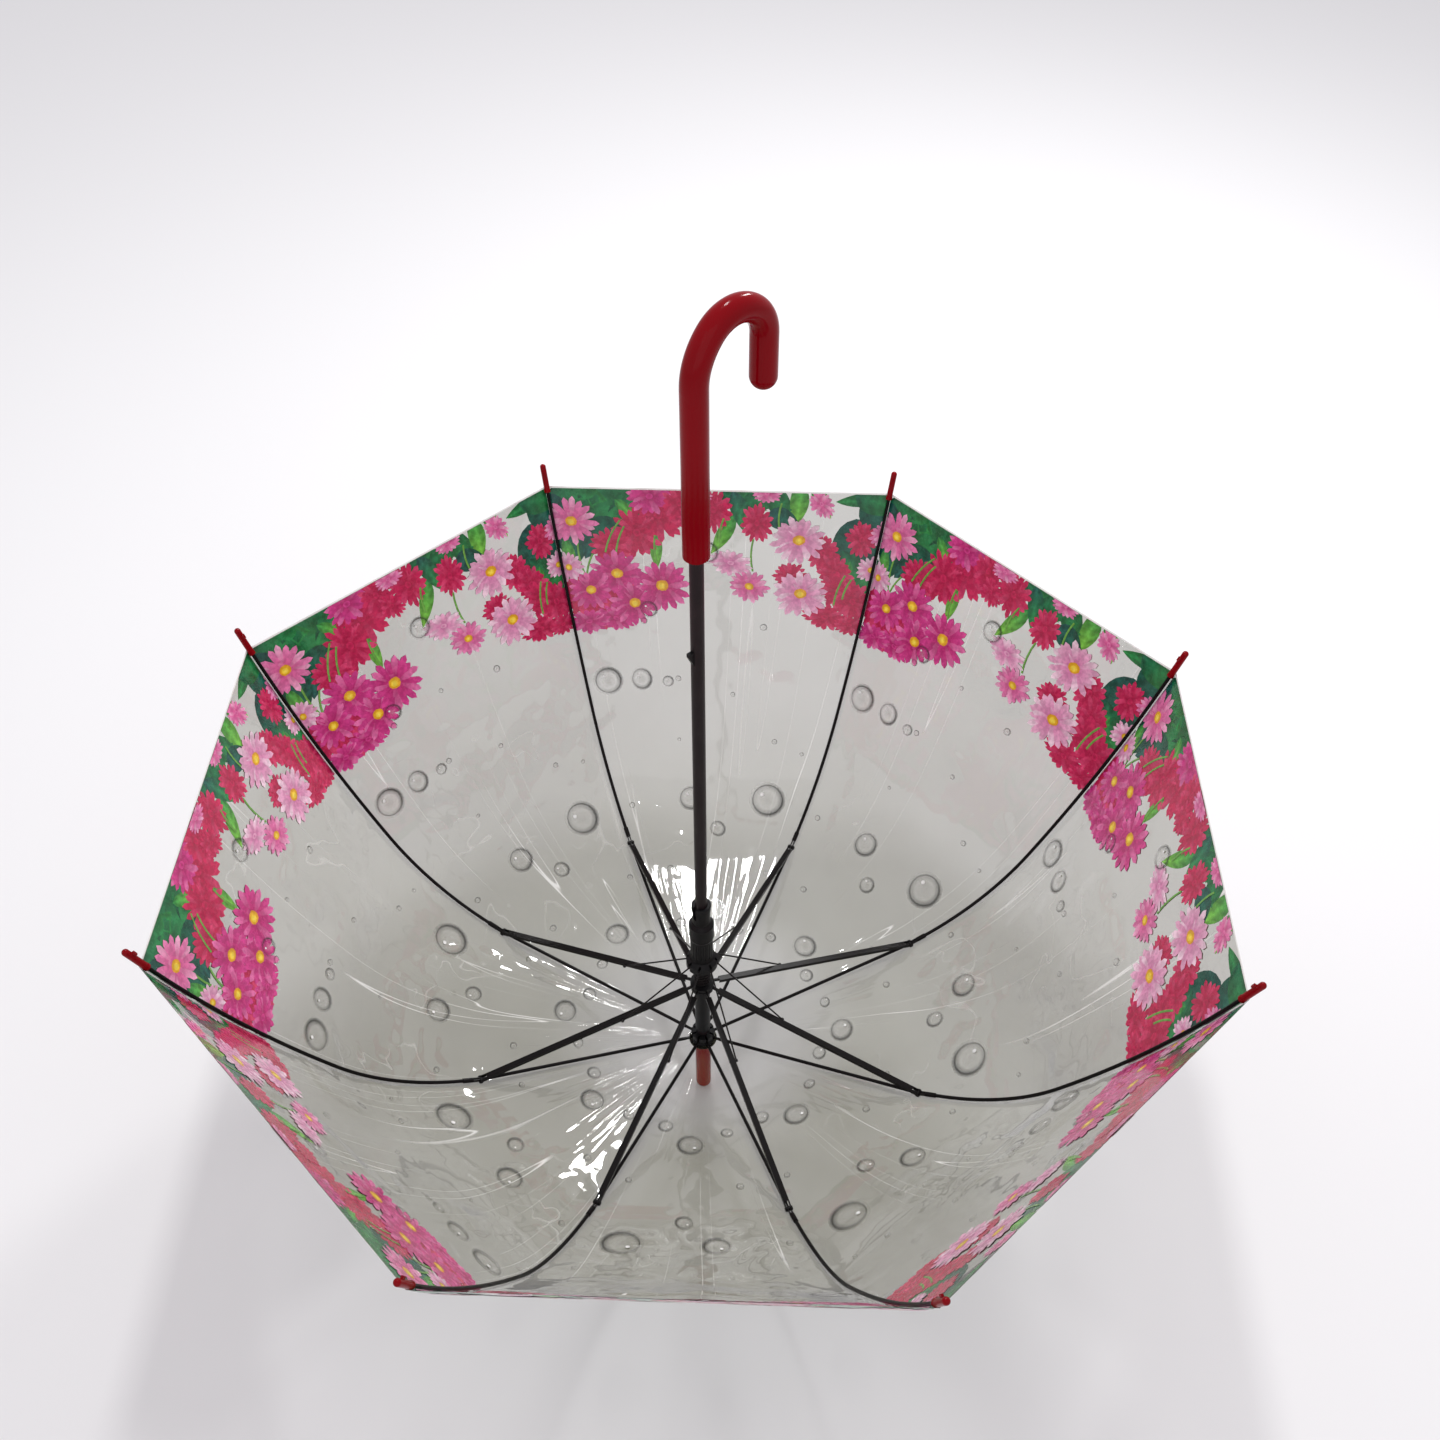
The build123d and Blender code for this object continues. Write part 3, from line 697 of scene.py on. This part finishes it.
# %% Leaves and stalks
def leaf(x, down, length, width, tilt, colour, tip):
    """A pointed leaf with a pale midrib, broad enough to need a few faces along and across."""
    made = bmesh.ops.create_grid(ink, x_segments=8, y_segments=4, size=1)["verts"]
    for vert in made:
        t = (vert.co.x + 1) / 2
        swell = math.sin(math.pi * min(1, t ** 0.75)) ** 0.8
        vein = abs(vert.co.y) < 0.1
        light = 1.7 if vein else 0.8 + 0.5 * ((round(t * 8) + round(vert.co.y * 2)) % 2)
        vert[INK] = (*shade([a + (b - a) * t for a, b in zip(colour, tip)], light), 1)
        vert.co.y *= width / 2000 * swell
        vert.co.x = (t - 0.5) * length / 1000
        vert.co.y += 0.12 * length / 1000 * (t - 0.5) ** 2
    bmesh.ops.transform(ink, matrix=spot(x, down) @ turn_about(tilt), verts=made)


def stem(x0, down0, x1, down1, width, colour):
    """A thin stalk between two places."""
    length = math.hypot(x1 - x0, down1 - down0)
    angle = math.degrees(math.atan2(down1 - down0, x1 - x0))
    made = bmesh.ops.create_grid(ink, x_segments=4, y_segments=1, size=0.5)["verts"]
    for vert in made:
        vert[INK] = (*shade(colour, 1.0 + 0.5 * (vert.co.y > 0)), 1)
        vert.co.x *= length / 1000
        bow = 0.06 * length / 1000 * (1 - (2000 * vert.co.x / length) ** 2)
        vert.co.y = vert.co.y * width / 1000 + bow
    middle = spot((x0 + x1) / 2, (down0 + down1) / 2)
    bmesh.ops.transform(ink, matrix=middle @ turn_about(angle), verts=made)


print("leaf and stalk helpers are ready")

# %% [markdown]
# The border's layout, in millimetres from the gore's middle line and down from the hem. Leaves go down first,
# then the crimson flowers at the back, then the open magenta and pale ones in front.

# %% The flower border
PINE, GRASS = (0.006, 0.085, 0.040), (0.020, 0.20, 0.045)
LIME, TEAL = (0.16, 0.42, 0.04), (0.010, 0.075, 0.065)
for x, down, length, width, tilt, colour, tip in (
    (-104, 20, 74, 44, 62, PINE, GRASS), (-130, 8, 60, 34, 10, PINE, GRASS),
    (-78, 10, 56, 34, 150, GRASS, PINE), (-136, 50, 52, 34, 80, TEAL, PINE),
    (-116, 48, 46, 26, 110, PINE, TEAL), (-150, 92, 60, 24, 96, PINE, GRASS),
    (-100, 44, 50, 30, 30, PINE, TEAL), (-152, 24, 44, 26, 60, TEAL, PINE),
    (24, 8, 48, 24, 20, PINE, GRASS), (6, 42, 46, 15, 118, GRASS, LIME),
    (40, 6, 44, 24, 160, GRASS, PINE), (58, 12, 50, 22, 60, PINE, GRASS),
    (76, 12, 42, 18, 96, GRASS, LIME), (62, 26, 34, 22, 20, TEAL, PINE),
    (20, 18, 40, 16, 75, TEAL, GRASS), (-58, 58, 40, 13, 84, GRASS, LIME),
    (-84, 22, 36, 11, 48, GRASS, LIME), (128, 52, 62, 44, 128, TEAL, PINE),
    (148, 58, 56, 40, 96, PINE, TEAL), (128, 78, 50, 26, 70, PINE, GRASS),
    (130, 6, 40, 13, 172, PINE, GRASS), (150, 24, 50, 34, 80, PINE, TEAL),
    (118, 84, 40, 14, 118, GRASS, LIME), (142, 96, 44, 22, 84, GRASS, PINE),
    (98, 8, 36, 14, 60, GRASS, LIME), (-140, 68, 40, 12, 80, GRASS, LIME),
    (150, 8, 46, 26, 20, PINE, GRASS),
):
    leaf(x, down, length, width, tilt, colour, tip)
for x, down, radius, kind, squeeze, tilt in (
    (-56, 24, 27, "crimson", 0.9, 20), (-76, 42, 25, "crimson", 0.85, 60),
    (-100, 57, 22, "crimson", 0.8, 30), (-64, 6, 22, "magenta", 0.8, 0),
    (-36, 12, 20, "crimson", 0.8, 80), (-4, 18, 22, "crimson", 0.8, 70), (46, 1, 14, "pink", 0.7, 0),
    (97, 10, 15, "pink", 0.7, 60), (37, 30, 19, "crimson", 0.8, 90), (100, 58, 20, "crimson", 0.8, 70),
    (112, 78, 20, "crimson", 0.8, 50), (70, 82, 17, "crimson", 0.8, 10),
    (116, 96, 21, "crimson", 0.85, 40), (-112, 118, 24, "crimson", 0.8, 20),
    (-92, 104, 22, "crimson", 0.8, 0), (136, 44, 18, "crimson", 0.85, 90),
    (130, 106, 22, "crimson", 0.8, 60), (-134, 106, 22, "crimson", 0.85, 10),
    (-96, 128, 20, "magenta", 0.6, 8), (-122, 132, 20, "magenta", 0.6, 172),
    (104, 122, 21, "crimson", 0.6, 10), (128, 130, 16, "crimson", 0.6, 0),
    (-26, 28, 14, "crimson", 0.8, 40),
):
    daisy(x, down, radius, kind, False, squeeze, tilt)
STALK = (0.12, 0.30, 0.05)
for ends in (
    (34, 46, 34, 78), (-92, 30, -106, 62), (-88, 36, -96, 66), (-118, 64, -124, 92), (122, 80, 112, 110),
    (128, 84, 120, 104), (-59, 44, -56, 74), (-132, 44, -126, 84), (60, 10, 58, 34), (6, 26, 2, 50),
):
    stem(*ends, 1.8, STALK)
for x, down, radius, kind, middle, squeeze, tilt in (
    (-138, 32, 24, "pink", True, 0.9, 20), (-141, 78, 15, "pale", True, 0.9, 60),
    (-95, 83, 25, "magenta", True, 0.85, 10), (-120, 100, 21, "magenta", True, 0.9, 0),
    (-78, 112, 23, "magenta", True, 0.95, 0), (-52, 94, 26, "magenta", True, 0.95, 40),
    (13, 70, 20, "pale", False, 0.62, 12), (31, 93, 19, "pink", True, 0.8, 20),
    (77, 46, 26, "pale", True, 0.85, 0), (80, 99, 26, "pale", True, 0.85, 10),
    (146, 74, 14, "pale", True, 0.9, 0), (-152, 112, 14, "crimson", False, 0.8, 0),
    (158, 40, 15, "pink", True, 0.9, 0), (-20, 4, 14, "pink", False, 0.6, 0),
):
    daisy(x, down, radius, kind, middle, squeeze, tilt)
print("printed shapes:", stack[0], "with", len(ink.faces), "faces")

# %% [markdown]
# A printed drop is a thin dark ring that is softer inside, with a shadow on one side and a bright fleck. Each
# of its bands is a flat cone between two circles, whose colour and cover change from one circle to the next.

# %% The printed drops
def band(place, wide, narrow, cover_wide, cover_narrow, tone, bias):
    """A ring of ink between two circles; bias makes one side of it stronger."""
    made = bmesh.ops.create_cone(ink, segments=28, radius1=wide, radius2=narrow, depth=0)["verts"]
    for vert in made:
        outer = vert.co.length > (wide + narrow) / 2
        lean = 1 + bias * (vert.co.x - vert.co.y) / max(vert.co.length, 1e-6) / 1.42
        vert[INK] = (*tone, min(1, (cover_wide if outer else cover_narrow) * lean))
    bmesh.ops.transform(ink, matrix=place, verts=made)


def drop(across, down, radius, squeeze=1.0, tilt=0.0):
    wide = film_line(HEM - down / 1000).x * math.sin(HALF) * 1000
    lean = turn_about(tilt) @ Matrix.Diagonal((1, squeeze, 1, 1))
    place = spot(across * wide, down) @ lean
    size = radius / 1000
    dark = (0.035, 0.035, 0.032)
    band(place, size * 1.20, size, 0.0, 0.30, dark, 0.9)
    band(place, size, size * 0.93, 0.62, 0.55, dark, 0.3)
    band(place, size * 0.93, size * 0.62, 0.24, 0.0, dark, 0.5)
    band(place, size * 0.62, 0.0, 0.0, 0.22, (0.62, 0.62, 0.57), 0.0)
    if radius > 4:
        fleck = spot(across * wide - radius * 0.35, down - radius * 0.35) @ lean
        button(fleck, size * 0.13, (0.9, 0.9, 0.88), (0.75, 0.75, 0.73))


for across, down, radius, squeeze, tilt in (
    (-0.82, 192, 12.5, 1.0, 0), (-0.56, 189, 10.0, 0.92, 70), (-0.36, 191, 5.0, 1.0, 0),
    (-0.28, 188, 2.6, 1.0, 0), (-0.06, 60, 9.5, 1.0, 0), (0.33, 134, 3.2, 1.0, 0),
    (-0.10, 124, 2.0, 1.0, 0), (0.14, 203, 2.2, 1.0, 0), (0.56, 309, 15.5, 0.96, 80),
    (-0.22, 309, 11.0, 0.95, 80), (0.07, 340, 7.5, 0.9, 60), (-0.84, 318, 2.6, 1.0, 0),
    (0.10, 430, 10.5, 0.95, 20), (-0.55, 446, 5.0, 0.9, 0), (0.62, 452, 6.0, 1.0, 0),
    (0.80, 388, 2.5, 1.0, 0), (-0.55, 385, 3.0, 1.0, 0), (0.52, 250, 2.4, 1.0, 0),
    (-0.50, 130, 3.0, 1.0, 0), (-0.46, 118, 8.0, 0.9, 30), (0.78, 262, 1.8, 1.0, 0),
    (-0.3, 250, 1.6, 1.0, 0),
):
    drop(across, down, radius, squeeze, tilt)
print("with its drops the print has", len(ink.faces), "faces")

# %% [markdown]
# The print's ink is a shiny, slightly see-through coat on the film, so its finish reads each face's own
# colour and cover, with a faint mottle like that of ink on plastic.

# %% Ink finish
inked, tree, shader = material("flower_ink", (0.5, 0.1, 0.2), 0.22)
colour = node(tree, "ShaderNodeAttribute", attribute_name="ink")
place = node(tree, "ShaderNodeTexCoord")
mottle = node(tree, "ShaderNodeTexNoise")
mottle.inputs["Scale"].default_value = 260
link(tree, place.outputs["Object"], mottle.inputs["Vector"])
vary = node(tree, "ShaderNodeMix", data_type="RGBA", blend_type="MULTIPLY")
vary.inputs["Factor"].default_value = 1.0
link(tree, colour.outputs["Color"], vary.inputs[6])
tone = node(tree, "ShaderNodeCombineColor")
bright = ramp(tree, mottle.outputs["Fac"], 0.25, 0.75, 0.80, 1.12)
for name in ("Red", "Green", "Blue"):
    link(tree, bright, tone.inputs[name])
link(tree, tone.outputs[0], vary.inputs[7])
link(tree, vary.outputs[2], shader.inputs["Base Color"])
link(tree, number(tree, "MULTIPLY", colour.outputs["Alpha"], 0.97), shader.inputs["Alpha"])
link(tree, ramp(tree, mottle.outputs["Fac"], 0.3, 0.7, 0.18, 0.34), shader.inputs["Roughness"])
shader.inputs["Coat Weight"].default_value = 0.5
shader.inputs["Coat Roughness"].default_value = 0.05
print("ink finish has", len(tree.nodes), "nodes")

# %% [markdown]
# Wrap the print. The flat layout is first turned into places on a gore, then cut at each strip's edges, and
# only then bent onto the film, so that no face spans a cut. The weld beside each rib stays clear of ink.

# %% Wrap the print on the film
WELD_EDGE = 0.992

for vert in ink.verts:
    along = HEM - HEM_MARGIN - vert.co.y
    wide = film_line(along).x * math.sin(HALF)
    vert.co = (-vert.co.x / wide, along, vert.co.z)


def cut(shape, where, normal):
    """Removes what lies beyond a plane."""
    geometry = shape.verts[:] + shape.edges[:] + shape.faces[:]
    bmesh.ops.bisect_plane(shape, geom=geometry, plane_co=where, plane_no=normal, clear_outer=True)


for span, (low, high) in SPANS.items():
    for side in (-1, 1):
        strip = ink.copy()
        cut(strip, (0, 0, 0), (-side, 0, 0))
        cut(strip, (side * WELD_EDGE, 0, 0), (side, 0, 0))
        cut(strip, (0, low, 0), (0, -1, 0))
        cut(strip, (0, min(high, HEM - HEM_MARGIN), 0), (0, 1, 0))
        inner_face = strip.verts[:] + strip.edges[:] + strip.faces[:]
        outer_face = bmesh.ops.duplicate(strip, geom=inner_face)["geom"]
        outer_verts = [part for part in outer_face if isinstance(part, bmesh.types.BMVert)]
        bmesh.ops.scale(strip, vec=(1, 1, -1), verts=outer_verts)
        for vert in strip.verts:
            vert.co = on_film(vert.co.x, vert.co.y, -vert.co.z)
        print("print on", span, side, len(strip.faces), "faces")
        lay(strip, "print", inked, side, span, False)
ink.free()

# %% [markdown]
# The opening spring. It is a coil between the slider and the inside of the runner, and it shortens as the
# runner comes down on the slider. A screw of one small ring makes it: spin turns the ring about the shaft
# while it climbs.

# %% Spring
low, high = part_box("spring")
wire = 0.00055
COIL_RADIUS = 0.0069
turns, steps = 14, 20
climb = (high[2] - low[2] - 2 * wire) / (turns * steps)
coil = bmesh.new()
ring = bmesh.ops.create_circle(coil, radius=wire, segments=8)["verts"]
bmesh.ops.rotate(coil, cent=(0, 0, 0), matrix=Matrix.Rotation(math.pi / 2, 3, "X"), verts=ring)
bmesh.ops.translate(coil, vec=(COIL_RADIUS, 0, low[2] + wire), verts=ring)
bmesh.ops.spin(
    coil, geom=coil.verts[:] + coil.edges[:], cent=(0, 0, 0), axis=(0, 0, 1), dvec=(0, 0, climb),
    angle=2 * math.pi * turns, steps=turns * steps,
)
bmesh.ops.holes_fill(coil, edges=[edge for edge in coil.edges if edge.is_boundary], sides=8)
bmesh.ops.recalc_face_normals(coil, faces=coil.faces)
spring = finish_mesh("opening_spring", coil, smooth=True)
spring.data.materials.append(steel)
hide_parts("spring")
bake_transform(spring)
print("spring of", turns, "turns,", round((high[2] - low[2]) * 1000, 1), "mm long")
